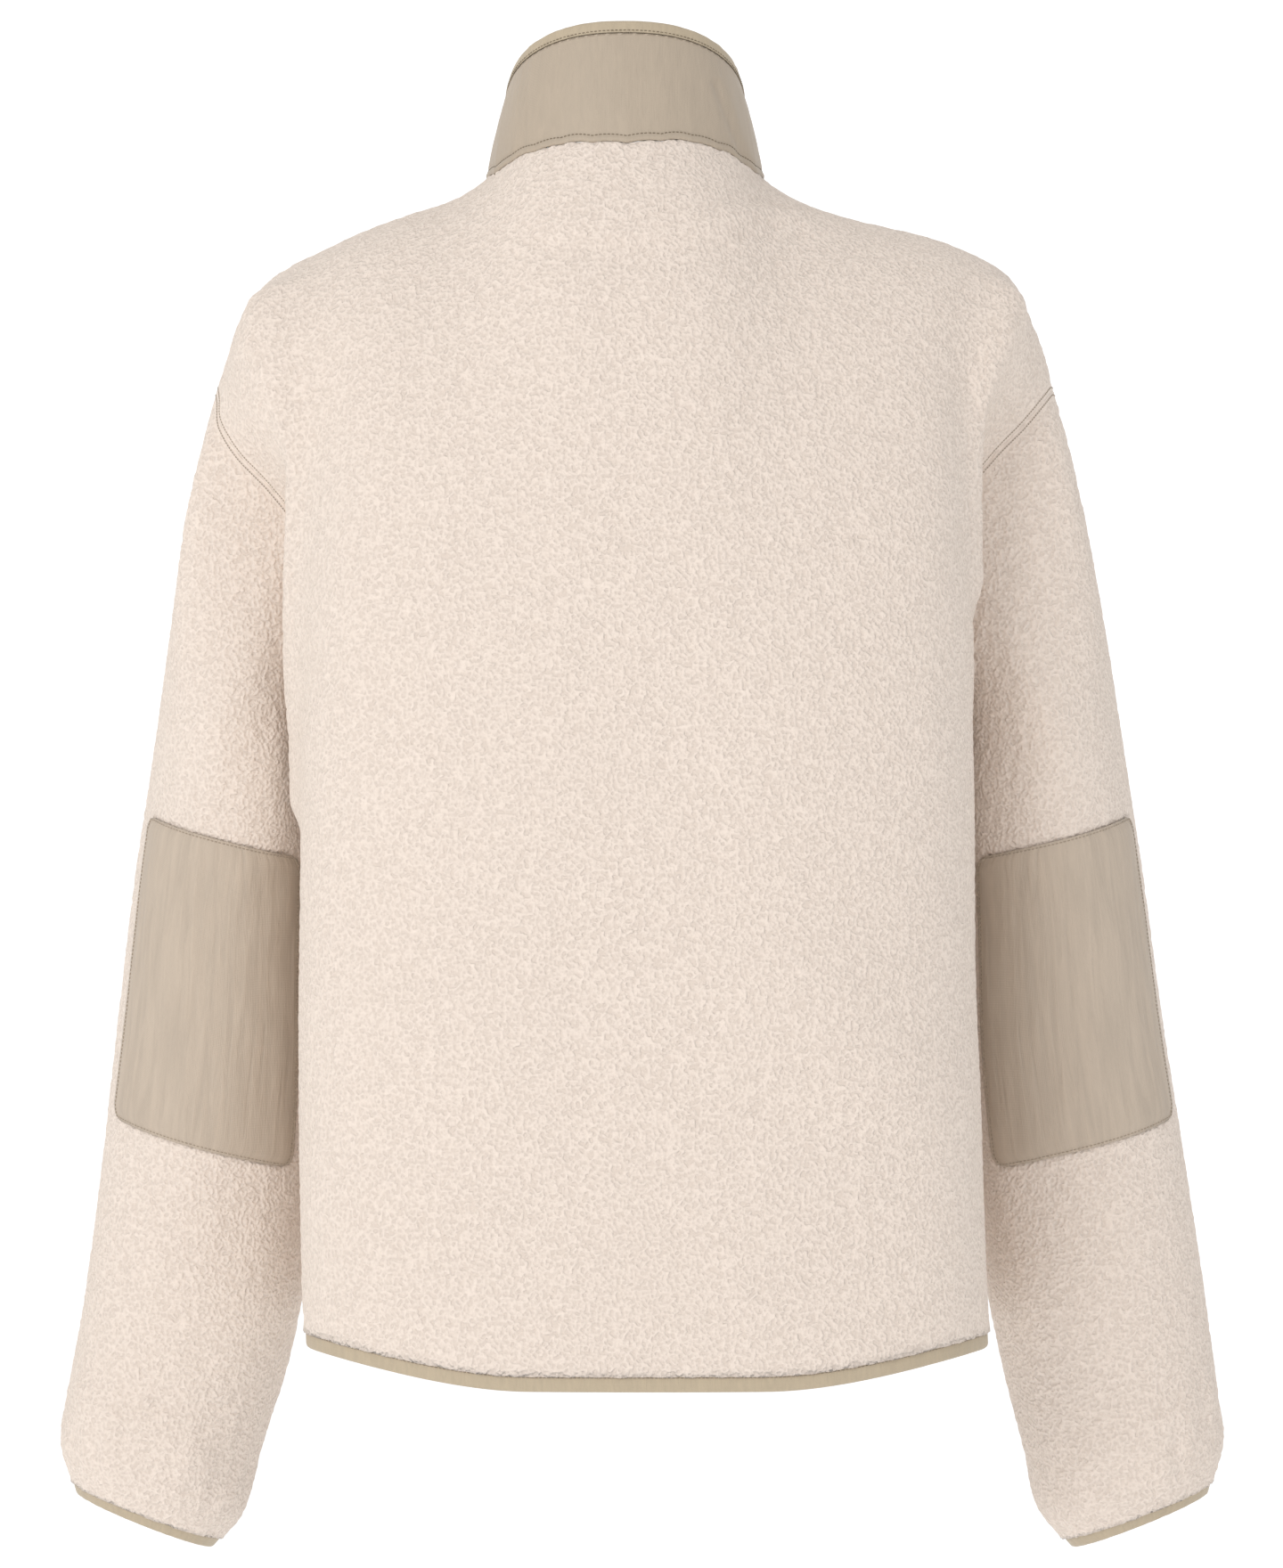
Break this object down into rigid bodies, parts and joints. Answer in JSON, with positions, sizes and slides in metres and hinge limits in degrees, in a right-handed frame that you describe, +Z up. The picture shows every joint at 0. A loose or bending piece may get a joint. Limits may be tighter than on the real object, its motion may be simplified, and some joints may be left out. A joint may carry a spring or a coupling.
{
  "type": "sherpa fleece pullover",
  "caption": "Hip-length sherpa fleece pullover with a zipped stand collar, elbow patches and bound hem and cuffs, filled out as worn and hollow inside.",
  "frame": {"origin": "middle of the neck opening, level with the points where the shoulder seams reach the collar, which is where the wearer's neck holds it", "axes": "+Z up along the neck; +Y out of the front, so the back faces -Y; +X towards the right sleeve as seen from behind"},
  "size_m": [0.6146, 0.266, 0.7895],
  "materials": {
    "fleece": "curly cream sherpa pile, matt and soft",
    "nylon": "crinkled taupe nylon taslan, low sheen",
    "binding": "folded taupe nylon binding, low sheen",
    "zip_tape": "woven polyester zip tape with a moulded coil",
    "metal": "satin enamel on die-cast zinc"
  },
  "bodies": {
    "garment": {"back_panel": "fleece", "front_panel": "fleece", "sleeve_left": "fleece", "sleeve_right": "fleece", "collar": "nylon", "patch_left": "nylon", "patch_right": "nylon", "collar_binding": "binding", "hem_binding": "binding", "cuff_binding_left": "binding", "cuff_binding_right": "binding", "zip_tape_left": "zip_tape", "zip_tape_right": "zip_tape", "zip_slider": "metal"},
    "zip_pull": {"zip_pull": "metal"}
  },
  "joints": [
    {"name": "zip_pull_hinge", "type": "hinge", "parent": "garment", "child": "zip_pull", "pos_m": [0.0036, 0.08337, -0.00107], "axis": [1, 0, 0], "range_deg": [0, 150]}
  ]
}
